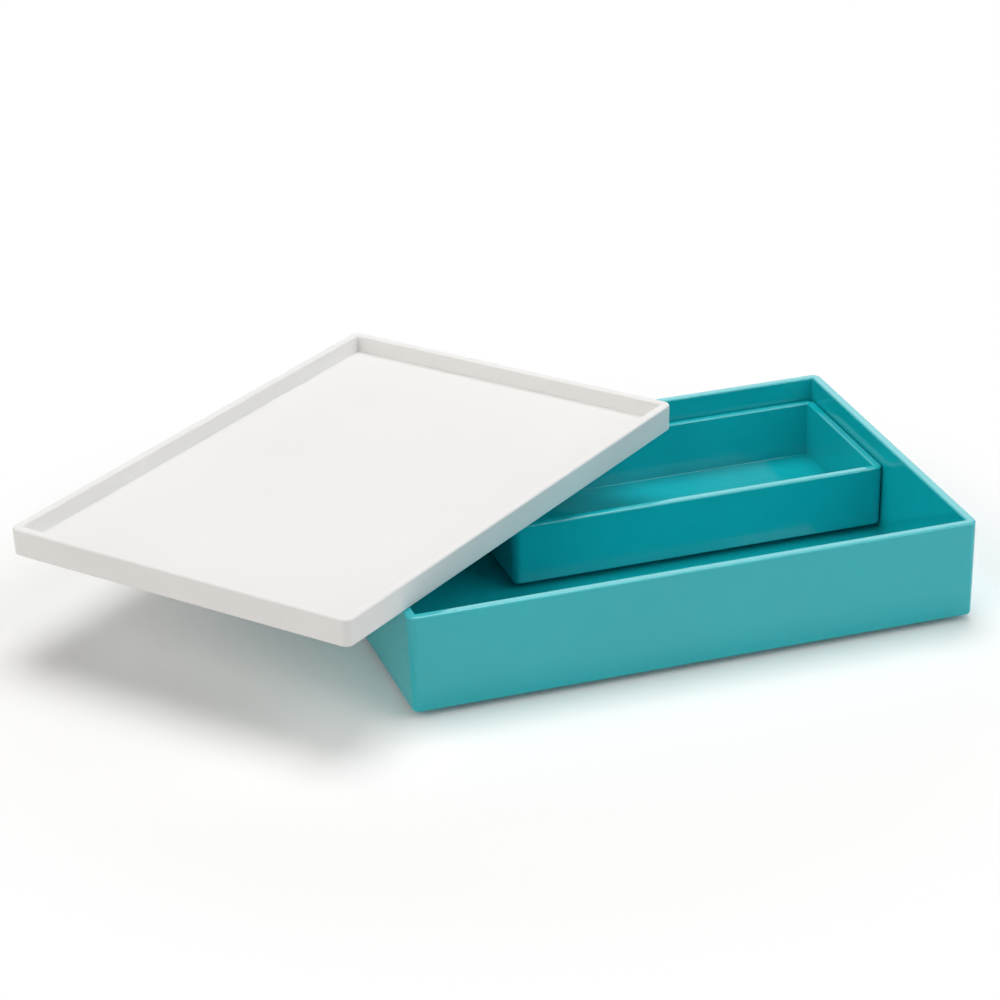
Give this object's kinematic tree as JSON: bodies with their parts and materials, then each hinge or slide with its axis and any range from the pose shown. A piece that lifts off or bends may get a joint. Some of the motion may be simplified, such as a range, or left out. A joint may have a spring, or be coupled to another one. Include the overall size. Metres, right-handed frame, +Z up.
{
  "type": "accessory tray",
  "caption": "Shallow moulded desk tray that holds a loose inner tray, with a slim lift-off lid tray lying askew across its rim, for craft and desk supplies.",
  "frame": {"origin": "centre of the base tray's footprint, on the table that its feet stand on", "axes": "+X along the base tray's long side to the right, +Y to the back, +Z up"},
  "size_m": [0.3837, 0.2869, 0.0579],
  "materials": {
    "teal_plastic": "polished moulded ABS",
    "white_plastic": "satin moulded ABS",
    "foot_rubber": "matt anti-slip rubber"
  },
  "bodies": {
    "base": {"base_tray": "teal_plastic", "base_foot_front_left": "foot_rubber", "base_foot_front_right": "foot_rubber", "base_foot_back_left": "foot_rubber", "base_foot_back_right": "foot_rubber"},
    "inner_tray": {"inner_tray": "teal_plastic", "inner_tray_foot_front_left": "foot_rubber", "inner_tray_foot_front_right": "foot_rubber", "inner_tray_foot_back_left": "foot_rubber", "inner_tray_foot_back_right": "foot_rubber"},
    "lid": {"lid": "white_plastic", "lid_foot_front_left": "foot_rubber", "lid_foot_front_right": "foot_rubber", "lid_foot_back_left": "foot_rubber", "lid_foot_back_right": "foot_rubber"}
  },
  "joints": [
    {"name": "inner_tray_slide", "type": "slide", "parent": "base", "child": "inner_tray", "axis": [1, 0, 0], "range_m": [-0.066, 0]},
    {"name": "lid_lift", "type": "slide", "parent": "base", "child": "lid", "axis": [0, 0, 1], "range_m": [0, 0.1]}
  ]
}
